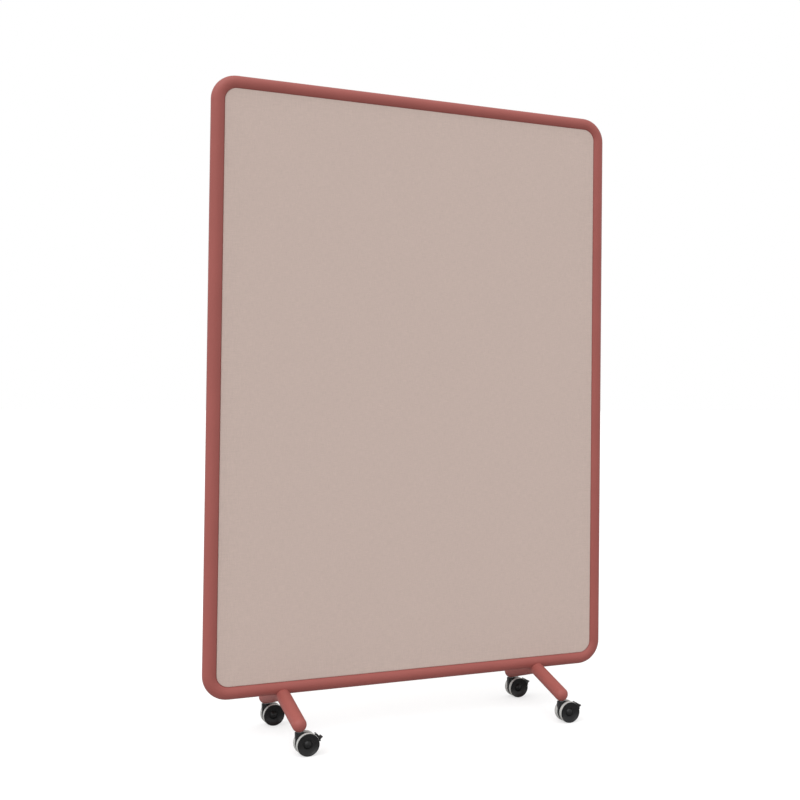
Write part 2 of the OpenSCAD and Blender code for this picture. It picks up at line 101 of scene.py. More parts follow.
class FrameSettings(bpy.types.PropertyGroup):
    """The painted steel frame and its fixings"""
    coat_colour: bpy.props.FloatVectorProperty(
        name="Powder Coat", description="Colour of the matt powder coat",
        default=(0.33, 0.09, 0.077), min=0.0, max=1.0, subtype="COLOR")
    coat_grain: bpy.props.FloatProperty(
        name="Coat Grain", description="Distance between the soft bumps of the coat",
        default=0.0011, min=0.0003, max=0.004, unit="LENGTH")
    weld_radius: bpy.props.FloatProperty(
        name="Weld Bead", description="Radius of the bead between a foot and the bottom rail",
        default=0.0017, min=0.0005, max=0.004, unit="LENGTH")
    weld_ripple: bpy.props.FloatProperty(
        name="Weld Ripple", description="Distance between the ripples along a bead",
        default=0.0024, min=0.001, max=0.006, unit="LENGTH")
    foot_bend_radius: bpy.props.FloatProperty(
        name="Foot Bend", description="Centreline radius of the bend in each foot",
        default=0.07, min=0.04, max=0.15, unit="LENGTH")
    zinc_colour: bpy.props.FloatVectorProperty(
        name="Zinc", description="Colour of the plated steel parts",
        default=(0.56, 0.57, 0.58), min=0.0, max=1.0, subtype="COLOR")
    clip_colour: bpy.props.FloatVectorProperty(
        name="Clips", description="Colour of the moulded panel clips",
        default=(0.78, 0.77, 0.73), min=0.0, max=1.0, subtype="COLOR")


class CasterSettings(bpy.types.PropertyGroup):
    """The four casters"""
    housing_colour: bpy.props.FloatVectorProperty(
        name="Housing", description="Colour of the housings and brake pedals",
        default=(0.012, 0.012, 0.0125), min=0.0, max=1.0, subtype="COLOR")
    wheel_colour: bpy.props.FloatVectorProperty(
        name="Wheels", description="Colour of the wheel bodies",
        default=(0.006, 0.006, 0.0063), min=0.0, max=1.0, subtype="COLOR")
    tyre_colour: bpy.props.FloatVectorProperty(
        name="Tyres", description="Colour of the soft tyres",
        default=(0.54, 0.54, 0.52), min=0.0, max=1.0, subtype="COLOR")
    grain: bpy.props.FloatProperty(
        name="Moulding Grain", description="Distance between the pits of the moulded grain",
        default=0.0005, min=0.0001, max=0.002, unit="LENGTH")
    tyre_depth: bpy.props.FloatProperty(
        name="Tyre Depth", description="Thickness of the tyre on the wheel's rim",
        default=0.004, min=0.002, max=0.006, unit="LENGTH")
    wheel_wall: bpy.props.FloatProperty(
        name="Wheel Wall", description="Thickness of the wheel's moulded walls",
        default=0.0022, min=0.0012, max=0.003, unit="LENGTH")
    hub_wall: bpy.props.FloatProperty(
        name="Hub Wall", description="Thickness of the wheel's hub round the axle",
        default=0.0035, min=0.002, max=0.005, unit="LENGTH")
    rib_width: bpy.props.FloatProperty(
        name="Rib Width", description="Thickness of the ribs on the wheel's inner side",
        default=0.0016, min=0.0008, max=0.003, unit="LENGTH")
    disc_edge: bpy.props.FloatProperty(
        name="Disc Edge", description="Thickness of the disc's rounded edge beside the tyre",
        default=0.0024, min=0.001, max=0.004, unit="LENGTH")
    dish_depth: bpy.props.FloatProperty(
        name="Dish Depth", description="Depth of the dished face at the foot of the dome",
        default=0.007, min=0.002, max=0.008, unit="LENGTH")
    dome_width: bpy.props.FloatProperty(
        name="Dome Width", description="Diameter of the dome in the middle of the wheel's face",
        default=0.024, min=0.015, max=0.03, unit="LENGTH")
    shoe_start: bpy.props.FloatProperty(
        name="Shoe Start", description="Lower end of the brake shoe, about the axle from the trailing side",
        default=math.radians(8), subtype="ANGLE", unit="ROTATION")
    shoe_end: bpy.props.FloatProperty(
        name="Shoe End", description="Upper end of the brake shoe, about the axle",
        default=math.radians(41), subtype="ANGLE", unit="ROTATION")
    shoe_depth: bpy.props.FloatProperty(
        name="Shoe Depth", description="Thickness of the brake shoe and of the lip",
        default=0.0028, min=0.0015, max=0.004, unit="LENGTH")
    shoe_gap: bpy.props.FloatProperty(
        name="Shoe Gap", description="Gap between the free shoe and the tyres",
        default=0.0026, min=0.001, max=0.005, unit="LENGTH")
    lip_length: bpy.props.FloatProperty(
        name="Lip Length", description="Reach of the pedal's lip beyond the shoe",
        default=0.009, min=0.004, max=0.015, unit="LENGTH")
    lip_width: bpy.props.FloatProperty(
        name="Lip Width", description="Width of the pedal's lip",
        default=0.02, min=0.01, max=0.026, unit="LENGTH")
    lip_root: bpy.props.FloatProperty(
        name="Lip Root", description="Where the lip leaves the shoe, about the axle",
        default=math.radians(15), subtype="ANGLE", unit="ROTATION")
    lip_lean: bpy.props.FloatProperty(
        name="Lip Lean", description="Direction of the lip above level",
        default=math.radians(40), subtype="ANGLE", unit="ROTATION")
    arm_width: bpy.props.FloatProperty(
        name="Arm Width", description="Width of the pedal's arm in the housing's slot",
        default=0.006, min=0.003, max=0.008, unit="LENGTH")
    edge_rounding: bpy.props.FloatProperty(
        name="Edge Rounding", description="Width of the rounding on the pedal's edges",
        default=0.0005, min=0.0001, max=0.001, unit="LENGTH")


class StageSettings(bpy.types.PropertyGroup):
    """Floor, light and camera"""
    camera_place: bpy.props.FloatVectorProperty(
        name="Camera Place", description="Where the camera stands",
        default=(-1.3197, -3.422, 0.9466), subtype="TRANSLATION", unit="LENGTH")
    camera_heading: bpy.props.FloatProperty(
        name="Camera Heading", description="Direction of view, turned from the front to the right",
        default=math.radians(27.934), subtype="ANGLE", unit="ROTATION")
    camera_pitch: bpy.props.FloatProperty(
        name="Camera Pitch", description="Upward tilt of the view",
        default=math.radians(1.339), subtype="ANGLE", unit="ROTATION")
    camera_roll: bpy.props.FloatProperty(
        name="Camera Roll", description="Turn of the view about its own axis, right side up",
        default=math.radians(0.4925), subtype="ANGLE", unit="ROTATION")
    lens: bpy.props.FloatProperty(
        name="Lens", description="Focal length in millimetres on a 36 mm sensor",
        default=56.803, min=10.0, max=300.0)
    shift_across: bpy.props.FloatProperty(
        name="Shift Across", description="Sideways shift of the view, as a share of its width",
        default=-0.2125, min=-1.0, max=1.0)
    shift_up: bpy.props.FloatProperty(
        name="Shift Up", description="Upward shift of the view, as a share of its width",
        default=-0.04375, min=-1.0, max=1.0)
    room_light: bpy.props.FloatProperty(
        name="Room Light", description="Strength of the even light from above and all round",
        default=0.95, min=0.0, max=2.0)
    key_strength: bpy.props.FloatProperty(
        name="Key Light", description="Strength of the wide soft light from the upper left front",
        default=1.6, min=0.0, max=10.0)
    key_spread: bpy.props.FloatProperty(
        name="Key Spread", description="Angle that the key light fills, which softens its shadows",
        default=math.radians(70), subtype="ANGLE", unit="ROTATION")
    floor_tone: bpy.props.FloatProperty(
        name="Floor Tone", description="Share of the light that the floor sends back to the object",
        default=0.42, min=0.0, max=1.0)
    floor_lift: bpy.props.FloatProperty(
        name="Floor Lift", description="Brightness added to the floor where the camera sees it",
        default=0.6, min=0.0, max=2.0)
    floor_size: bpy.props.FloatProperty(
        name="Floor Size", description="Length of the floor's sides",
        default=120.0, min=5.0, max=500.0, unit="LENGTH")


# ---------------------------------------------------------------- material helpers

def node(tree, kind, inputs=None, **settings):
    """A shader node with its settings and with its inputs linked or set."""
    made = tree.nodes.new(kind)
    for key, value in settings.items():
        setattr(made, key, value)
    for key, value in (inputs or {}).items():
        if isinstance(value, bpy.types.NodeSocket):
            tree.links.new(value, made.inputs[key])
        else:
            made.inputs[key].default_value = value
    return made


def maths(tree, operation, a, b=0.0):
    return node(tree, "ShaderNodeMath", {0: a, 1: b}, operation=operation).outputs[0]


def blended(tree, factor, a, b):
    """Colour a where factor is 0 and b where it is 1."""
    mix = node(tree, "ShaderNodeMix", {"Factor": factor}, data_type="RGBA")
    for socket, value in ((mix.inputs[6], a), (mix.inputs[7], b)):
        if isinstance(value, bpy.types.NodeSocket):
            tree.links.new(value, socket)
        else:
            socket.default_value = (*value, 1.0)
    return mix.outputs[2]


def ranged(tree, value, low, high, start=0.0, end=1.0):
    """value from start to end, mapped to low to high."""
    return node(tree, "ShaderNodeMapRange",
                {"Value": value, "From Min": start, "From Max": end,
                 "To Min": low, "To Max": high}).outputs[0]


def noise(tree, place, pitch, detail=2.0, stretch=(1.0, 1.0, 1.0)):
    """Soft noise whose features are about pitch apart, drawn out where stretch is below 1."""
    scaled = node(tree, "ShaderNodeVectorMath", {0: place, 1: [s / pitch for s in stretch]},
                  operation="MULTIPLY").outputs[0]
    return node(tree, "ShaderNodeTexNoise", {"Vector": scaled, "Scale": 1.0, "Detail": detail}).outputs[0]


def bumped(tree, height, depth, strength=1.0):
    return node(tree, "ShaderNodeBump", {"Height": height, "Distance": depth, "Strength": strength}).outputs[0]


def finish_named(name, **sockets):
    """A new material: its node tree, its shader and the place on the object in metres."""
    material = bpy.data.materials.new(name)
    material.use_nodes = True
    tree = material.node_tree
    shader = tree.nodes["Principled BSDF"]
    for key, value in sockets.items():
        shader.inputs[key.replace("_", " ")].default_value = value
    place = tree.nodes.new("ShaderNodeTexCoord").outputs["Object"]
    return material, tree, shader, place


def shade(colour, factor):
    return tuple(min(1.0, c * factor) for c in colour)


# ---------------------------------------------------------------- materials

def powder_coat(settings):
    """Matt powder coat: orange-peel bumps, faintly uneven colour and gloss."""
    material, tree, shader, place = finish_named("powder_coat", Specular_IOR_Level=0.3)
    cloud = noise(tree, place, 0.09, detail=3.0)
    speck = noise(tree, place, settings.coat_grain * 2, detail=1.0)
    base = blended(tree, ranged(tree, cloud, 0.0, 1.0, 0.3, 0.7),
                   shade(settings.coat_colour, 0.965), shade(settings.coat_colour, 1.035))
    tone = blended(tree, ranged(tree, speck, 0.0, 0.35, 0.35, 0.7), base, shade(settings.coat_colour, 0.9))
    tree.links.new(tone, shader.inputs["Base Color"])
    tree.links.new(ranged(tree, speck, 0.46, 0.6, 0.3, 0.7), shader.inputs["Roughness"])
    peel = noise(tree, place, settings.coat_grain, detail=2.0)
    tree.links.new(bumped(tree, peel, 0.00012, 0.5), shader.inputs["Normal"])
    return material


def woven_cloth(settings):
    """Plain weave of melange yarn: threads pass over and under, each with its own tone, and painted shade darkens the
    gaps between them.
    """
    material, tree, shader, place = finish_named(
        "woven_cloth", Roughness=0.92, Sheen_Weight=0.18, Sheen_Roughness=0.55, Specular_IOR_Level=0.25)
    apart = node(tree, "ShaderNodeSeparateXYZ", {0: place})
    stray = ranged(tree, noise(tree, place, settings.thread_pitch * 5, detail=3.0), -0.9, 0.9)
    across = maths(tree, "ADD", maths(tree, "DIVIDE", apart.outputs[0], settings.thread_pitch), stray)
    along = maths(tree, "ADD", maths(tree, "DIVIDE", apart.outputs[2], settings.thread_pitch), stray)
    cell = maths(tree, "ADD", maths(tree, "FLOOR", across), maths(tree, "FLOOR", along))
    over = maths(tree, "FLOORED_MODULO", cell, 2.0)
    side = ranged(tree, over, 1.0, -1.0)
    warp = maths(tree, "ABSOLUTE", maths(tree, "SINE", maths(tree, "MULTIPLY", across, math.pi)))
    weft = maths(tree, "ABSOLUTE", maths(tree, "SINE", maths(tree, "MULTIPLY", along, math.pi)))
    warp_up = maths(tree, "MULTIPLY_ADD", maths(tree, "MULTIPLY", side, weft), 0.5)
    weft_up = maths(tree, "MULTIPLY_ADD", maths(tree, "MULTIPLY", side, warp), -0.5)
    for raised in (warp_up, weft_up):
        raised.node.inputs[2].default_value = 0.5
    height = maths(tree, "MAXIMUM", maths(tree, "MULTIPLY", warp, warp_up), maths(tree, "MULTIPLY", weft, weft_up))
    pitch = settings.thread_pitch
    warp_yarn = noise(tree, place, pitch, detail=1.0, stretch=(1.0, 1.0, 0.06))
    weft_yarn = noise(tree, place, pitch, detail=1.0, stretch=(0.06, 1.0, 1.0))
    yarn = node(tree, "ShaderNodeMix", {"Factor": over, 2: warp_yarn, 3: weft_yarn}, data_type="FLOAT").outputs[0]
    dark, light = shade(settings.cloth_colour, 0.9), shade(settings.cloth_colour, 1.08)
    tone = blended(tree, ranged(tree, yarn, 0.0, 1.0, 0.25, 0.75), dark, light)
    worn = noise(tree, place, 0.22, detail=2.0)
    toned = blended(tree, ranged(tree, worn, 0.0, 0.04, 0.35, 0.65), tone, shade(settings.cloth_colour, 0.85))
    # painted shade: the cloth is darkened towards 0.6 of its colour where the threads dip, in the gaps between them
    seen = blended(tree, ranged(tree, height, 0.3, 0.0, 0.1, 0.6), toned, shade(settings.cloth_colour, 0.6))
    tree.links.new(seen, shader.inputs["Base Color"])
    fuzz = noise(tree, place, pitch / 4, detail=1.0)
    surface = maths(tree, "ADD", height, maths(tree, "MULTIPLY", fuzz, 0.25))
    tree.links.new(bumped(tree, surface, 0.00022, 0.55), shader.inputs["Normal"])
    return material


def open_foam(settings):
    """Open-cell foam with small round pores, darkened inside by painted shade."""
    material, tree, shader, place = finish_named("open_foam", Roughness=0.95)
    pores = node(tree, "ShaderNodeTexVoronoi", {"Vector": place, "Scale": 900.0}).outputs["Distance"]
    # painted shade: the foam is darkened towards 0.6 of its colour in the pores, where the bump sinks
    tone = blended(tree, ranged(tree, pores, 0.5, 0.0, 0.0, 0.45), settings.foam_colour,
                   shade(settings.foam_colour, 0.6))
    tree.links.new(tone, shader.inputs["Base Color"])
    tree.links.new(bumped(tree, pores, 0.0004, 0.7), shader.inputs["Normal"])
    return material


def fibreboard(settings):
    """Pressed fibreboard: fine flecks of fibre in two tones."""
    material, tree, shader, place = finish_named("fibreboard", Roughness=0.8)
    flecks = noise(tree, place, 0.0016, detail=4.0, stretch=(0.5, 1.0, 1.0))
    tone = blended(tree, ranged(tree, flecks, 0.0, 1.0, 0.3, 0.7), shade(settings.board_colour, 0.8),
                   shade(settings.board_colour, 1.15))
    tree.links.new(tone, shader.inputs["Base Color"])
    tree.links.new(bumped(tree, flecks, 0.0001, 0.5), shader.inputs["Normal"])
    return material


def zinc_plate(settings):
    """Bright zinc plating with fine turning marks and a cloudy gloss."""
    material, tree, shader, place = finish_named("zinc_plate", Metallic=1.0)
    cloud = noise(tree, place, 0.004, detail=3.0)
    tone = blended(tree, cloud, shade(settings.zinc_colour, 0.88), shade(settings.zinc_colour, 1.1))
    tree.links.new(tone, shader.inputs["Base Color"])
    tree.links.new(ranged(tree, cloud, 0.24, 0.42, 0.3, 0.7), shader.inputs["Roughness"])
    tree.links.new(bumped(tree, noise(tree, place, 0.0004), 0.00002, 0.5), shader.inputs["Normal"])
    return material


def moulded(name, colour, grain, low_rough, high_rough, gloss=0.5, depth=0.00004, scuff=0.0):
    """Moulded plastic or rubber: fine grain, uneven gloss and, where scuff is above 0, worn patches."""
    material, tree, shader, place = finish_named(name, Specular_IOR_Level=gloss)
    pits = noise(tree, place, grain, detail=2.0)
    patch = noise(tree, place, 0.007, detail=4.0)
    tone = blended(tree, ranged(tree, patch, 0.0, 1.0, 0.35, 0.7), colour, shade(colour, 1.0 + scuff))
    tree.links.new(tone, shader.inputs["Base Color"])
    tree.links.new(ranged(tree, patch, low_rough, high_rough, 0.3, 0.7), shader.inputs["Roughness"])
    tree.links.new(bumped(tree, pits, depth, 0.6), shader.inputs["Normal"])
    return material


def finish_for(slot):
    """The finish of one of the record's material slots, made once."""
    scene = bpy.context.scene
    panel, metal, caster = scene.partition_panel, scene.partition_frame, scene.partition_casters
    makers = {
        "frame_paint": lambda: powder_coat(metal),
        "upholstery": lambda: woven_cloth(panel),
        "foam": lambda: open_foam(panel),
        "core_board": lambda: fibreboard(panel),
        "steel": lambda: zinc_plate(metal),
        "clip_plastic": lambda: moulded("clip_nylon", tuple(metal.clip_colour), 0.0008, 0.42, 0.55),
        "caster_black": lambda: moulded("housing_nylon", tuple(caster.housing_colour), caster.grain,
                                        0.36, 0.48, gloss=0.3, scuff=0.3),
        "wheel_black": lambda: moulded("wheel_nylon", tuple(caster.wheel_colour), caster.grain,
                                       0.27, 0.36, gloss=0.34, scuff=0.3),
        "tyre_grey": lambda: moulded("tyre_rubber", tuple(caster.tyre_colour), 0.0009, 0.55, 0.72, gloss=0.3,
                                     depth=0.00008, scuff=-0.14),
    }
    made = FINISHES.get(slot)
    if made is None:
        made = FINISHES[slot] = makers[slot]()
    return made


FINISHES = {}


# ---------------------------------------------------------------- mesh helpers

def piece(name, points, faces, slot, body, sharp=None, closed=False):
    """A mesh piece that rides on a body and takes its finish from a slot."""
    mesh = bpy.data.meshes.new(name)
    mesh.from_pydata([tuple(map(float, p)) for p in points], [], [tuple(map(int, f)) for f in faces])
    if closed:
        form = bmesh.new()
        form.from_mesh(mesh)
        bmesh.ops.recalc_face_normals(form, faces=form.faces)
        form.to_mesh(mesh)
        form.free()
    mesh.polygons.foreach_set("use_smooth", [True] * len(mesh.polygons))
    if sharp is not None:
        mesh.set_sharp_from_angle(angle=sharp)
    mesh.materials.append(finish_for(slot))
    made = bpy.data.objects.new(name, mesh)
    bpy.context.scene.collection.objects.link(made)
    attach(made, body)
    return made


def ring_faces(rings, count, closed_ends=False):
    """Quads between neighbouring closed rings of count points each."""
    faces = []
    for k in range(rings - 1):
        for i in range(count):
            j = (i + 1) % count
            faces.append((k * count + i, k * count + j, (k + 1) * count + j, (k + 1) * count + i))
    if closed_ends:
        faces.append(tuple(range(count - 1, -1, -1)))
        faces.append(tuple(range((rings - 1) * count, rings * count)))
    return faces


# ---------------------------------------------------------------- half panels

def eased(share):
    """0 to 1 with a soft start and end."""
    t = min(1.0, max(0.0, share))
    return t * t * (3 - 2 * t)


class PanelForm:
    """Points of one side of the upholstery, as a grid that fits the rounded outline."""

    CORNER_CELLS = 8
    ROLL_CELLS = 8
    CELL = 0.028
    GATHERS = 7             # at each corner
    GATHER_REACH = 0.008    # how far in from the edge the gathers fade

    def __init__(self, settings, half_w, half_h, radius, edge_depth, rise, roll, middle):
        self.settings, self.middle = settings, middle
        self.half_w, self.half_h, self.radius = half_w, half_h, radius
        self.edge_depth, self.rise, self.roll = edge_depth, rise, roll
        turn = [math.pi / 2 * k / self.ROLL_CELLS for k in range(self.ROLL_CELLS + 1)]
        rolled = [roll * (1 - math.cos(a)) for a in turn]
        rest = [roll + (radius - roll) * k / self.CORNER_CELLS for k in range(1, self.CORNER_CELLS + 1)]
        insets = rolled + rest
        self.across = self.stations(half_w, insets)
        self.up = self.stations(half_h, insets)

    def stations(self, half, insets):
        inner = half - insets[-1]
        cells = max(2, round(2 * inner / self.CELL))
        side = [half - i for i in insets]
        return [-s for s in side] + [-inner + 2 * inner * k / cells for k in range(1, cells)] + side[::-1]

    def place(self, x, z):
        """The point of the flat outline for a grid point, and its distance in from the edge."""
        corner_x, corner_z = self.half_w - self.radius, self.half_h - self.radius
        s, t = (abs(x) - corner_x) / self.radius, (abs(z) - corner_z) / self.radius
        if s <= 0 or t <= 0:
            return x, z, min(self.half_w - abs(x), self.half_h - abs(z))
        reach = max(s, t)
        angle = math.pi / 4 * t / s if s >= t else math.pi / 2 - math.pi / 4 * s / t
        ring = self.radius * reach
        return (math.copysign(corner_x + ring * math.cos(angle), x),
                math.copysign(corner_z + ring * math.sin(angle), z), self.radius - ring)

    def depth(self, x, z, inset):
        """Height of the face above the middle plane."""
        lean = min(1.0, inset / self.roll)
        rolled = self.edge_depth + self.rise * math.sqrt(max(0.0, 1 - (1 - lean) ** 2))
        width = self.settings.crown_width - self.roll
        share = (eased((self.half_w - abs(x) - self.roll) / width)
                 * eased((self.half_h - abs(z) - self.roll) / width))
        return rolled + self.settings.crown * share

    def pucker(self, x, z, inset):
        """How far the gathers at a corner draw the cloth in."""
        past_x, past_z = abs(x) - (self.half_w - self.radius), abs(z) - (self.half_h - self.radius)
        if past_x <= 0 or past_z <= 0:
            return 0.0
        angle = math.atan2(past_z, past_x)
        wave = 0.5 - 0.5 * math.cos(angle * 4 * self.GATHERS)
        fade = math.exp(-max(0.0, inset) / self.GATHER_REACH)
        return self.settings.pucker * wave * math.sin(2 * angle) ** 2 * fade

    def face(self):
        """Rows of (x, z, depth) over the whole face."""
        rows = []
        for up in self.up:
            row = []
            for across in self.across:
                x, z, inset = self.place(across, up)
                row.append((x, z, self.depth(x, z, inset) - self.pucker(x, z, inset)))
            rows.append(row)
        return rows

    def outline(self):
        """Grid indices round the edge of the face, in order."""
        wide, high = len(self.across), len(self.up)
        return ([(0, i) for i in range(wide)] + [(j, wide - 1) for j in range(1, high)]
                + [(high - 1, i) for i in range(wide - 2, -1, -1)] + [(j, 0) for j in range(high - 2, 0, -1)])

    def inward(self, x, z):
        """Unit direction into the panel at a point of its outline."""
        past_x, past_z = abs(x) - (self.half_w - self.radius), abs(z) - (self.half_h - self.radius)
        if past_x > 0 and past_z > 0:
            away = math.hypot(past_x, past_z)
            return -math.copysign(past_x / away, x), -math.copysign(past_z / away, z)
        if past_x > past_z:
            return -math.copysign(1.0, x), 0.0
        return 0.0, -math.copysign(1.0, z)


def form_mesh(form, side, borders, capped=False):
    """Points and faces of a face grid with its borders, which are (inset, depth) rings outside it."""
    rows = form.face()
    wide = len(form.across)
    flat = [p for row in rows for p in row]
    faces = [(j * wide + i, j * wide + i + 1, (j + 1) * wide + i + 1, (j + 1) * wide + i)
             for j in range(len(rows) - 1) for i in range(wide - 1)]
    ring = [j * wide + i for j, i in form.outline()]
    rim = ring
    for inset, depth in borders:
        start = len(flat)
        for index in ring:
            x, z, _ = flat[index]
            in_x, in_z = form.inward(x, z)
            sink = inset + form.pucker(x, z, 0.0)
            flat.append((x + in_x * sink, z + in_z * sink, depth))
        fresh = list(range(start, len(flat)))
        count = len(ring)
        faces += [(rim[(k + 1) % count], rim[k], fresh[k], fresh[(k + 1) % count]) for k in range(count)]
        rim = fresh
    if capped:
        faces.append(tuple(rim))
    points = [(x, side * depth, form.middle + z) for x, z, depth in flat]
    if side > 0:
        faces = [f[::-1] for f in faces]
    return points, faces


def flare_at(half_w, depth):
    """How far a side that lies along the round tube stands out at a depth from the middle plane."""
    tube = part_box("frame_upper")[1]
    reach = tube.x - tube.y - half_w
    return reach - math.sqrt(reach ** 2 - depth ** 2)


class PARTITION_OT_foam_pads(bpy.types.Operator):
    """Foam pads with rolled edges on the outer side of each core board"""
    bl_idname = "partition.foam_pads"
    bl_label = "Foam Pads"
    bl_options = {"REGISTER", "UNDO"}

    def execute(self, context):
        settings = context.scene.partition_panel
        for name, side in SIDES.items():
            low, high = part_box(f"{name}_pad")
            near, far = sorted((abs(low.y), abs(high.y)))
            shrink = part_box(f"{name}_cover")[1].x - high.x
            roll = settings.roll_width - settings.cloth_thickness
            edge = far - settings.crown - roll
            flare = flare_at(high.x, edge)
            form = PanelForm(settings, high.x + flare, (high.z - low.z) / 2 + flare,
                             settings.corner_radius - shrink + flare, edge, roll, roll, (low.z + high.z) / 2)
            points, faces = form_mesh(form, side, [(flare - flare_at(high.x, near), near)], capped=True)
            pad = piece(f"{name}_foam_pad", points, faces, "foam", SCREEN)
            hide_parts(f"{name}_pad")
        return {"FINISHED"}


class PARTITION_OT_fabric_covers(bpy.types.Operator):
    """Woven covers pulled over the foam and round the edge of each half panel"""
    bl_idname = "partition.fabric_covers"
    bl_label = "Fabric Covers"
    bl_options = {"REGISTER", "UNDO"}

    WALL_CELLS = 5

    def execute(self, context):
        settings = context.scene.partition_panel
        for name, side in SIDES.items():
            low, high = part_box(f"{name}_cover")
            near, far = sorted((abs(low.y), abs(high.y)))
            roll = settings.roll_width
            edge = far - settings.crown - roll
            flare = flare_at(high.x, edge)
            half_w, half_h = high.x + flare, (high.z - low.z) / 2 + flare
            form = PanelForm(settings, half_w, half_h, settings.corner_radius + flare, edge, roll, roll,
                             (low.z + high.z) / 2)
            wall = [edge + (near - edge) * share / self.WALL_CELLS for share in range(1, self.WALL_CELLS + 1)]
            borders = [(flare - flare_at(high.x, depth), depth) for depth in wall]
            points, faces = form_mesh(form, side, borders)
            cloth = piece(f"{name}_fabric_cover", points, faces, "upholstery", SCREEN)
            body = cloth.modifiers.new("cloth thickness", "SOLIDIFY")
            body.thickness = settings.cloth_thickness
            body.offset = -1.0
            body.use_even_offset = True
            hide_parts(f"{name}_cover")
        return {"FINISHED"}


# ---------------------------------------------------------------- frame

class PARTITION_OT_foot_welds(bpy.types.Operator):
    """Painted weld beads round the saddles where the feet carry the bottom rail"""
    bl_idname = "partition.foot_welds"
    bl_label = "Foot Welds"
    bl_options = {"REGISTER", "UNDO"}

    STEPS = 72
    ROUND = 10
    SWELL = 0.07                    # share by which a ripple widens the bead
    STEEPEST = math.radians(40)     # the foot has left the rail by this lean of its bend
    HALVINGS = 40

    def execute(self, context):
        settings = context.scene.partition_frame
        rail_low, rail_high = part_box("frame_lower")
        tube_r = rail_high.y
        rail_z = rail_low.z + tube_r
        for name in ("left", "right"):
            low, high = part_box(f"{name}_foot")
            middle = (low.x + high.x) / 2
            path = [p + Vector((middle, 0, 0)) for p in self.saddle(settings, tube_r, rail_z, high.z)]
            points, count = [], len(path)
            for k, p in enumerate(path):
                ahead = (path[(k + 1) % count] - path[k - 1]).normalized()
                level = Vector((0, 0, 1)).cross(ahead).normalized()
                stand = ahead.cross(level)
                travelled = sum((path[i + 1] - path[i]).length for i in range(k))
                swell = 1 + self.SWELL * math.cos(2 * math.pi * travelled / settings.weld_ripple)
                for i in range(self.ROUND):
                    a = 2 * math.pi * i / self.ROUND
                    points.append(p + settings.weld_radius * swell * (math.cos(a) * level + math.sin(a) * stand))
            faces = ring_faces(count, self.ROUND)
            last = (count - 1) * self.ROUND
            faces += [(last + i, last + (i + 1) % self.ROUND, (i + 1) % self.ROUND, i) for i in range(self.ROUND)]
            piece(f"{name}_foot_weld", points, faces, "frame_paint", SCREEN)
        return {"FINISHED"}

    def saddle(self, settings, tube_r, rail_z, foot_top):
        """The closed line along which a foot's tube meets the rail's, about the foot's middle."""
        bend = settings.foot_bend_radius
        centre_z = foot_top - tube_r - bend
        lowest = math.acos(max(-1.0, (rail_z - tube_r - centre_z - bend) / tube_r))
        spots = [lowest * (2 * k / self.STEPS - 1) for k in range(self.STEPS + 1)]
        path = []
        for side, turns in ((-1, spots), (1, spots[::-1])):
            for turn in turns[:-1]:
                path.append(self.meeting(side, turn, bend, centre_z, tube_r, rail_z))
        return path

    def meeting(self, side, turn, bend, centre_z, tube_r, rail_z):
        """Where the line along the foot's tube at one turn of its section leaves the rail's tube."""
        inside, outside = 0.0, self.STEEPEST
        for _ in range(self.HALVINGS):
            lean = (inside + outside) / 2
            reach = bend + tube_r * math.cos(turn)
            y, z = side * reach * math.sin(lean), centre_z + reach * math.cos(lean)
            if math.hypot(y, z - rail_z) < tube_r:
                inside = lean
            else:
                outside = lean
        return Vector((tube_r * math.sin(turn) * -side, y, z))


# ---------------------------------------------------------------- casters

RUNNING = 0.00005   # radial clearance of a running fit
LOOSE = 0.0004      # how far the rim and the dome stand back, and the clearance beyond the axle's end


def arc(centre, radius, start, end, steps):
    """Points of an arc, its angles from the first direction to the second."""
    turns = [start + (end - start) * k / steps for k in range(steps + 1)]
    return [(centre[0] + radius * math.cos(a), centre[1] + radius * math.sin(a)) for a in turns]


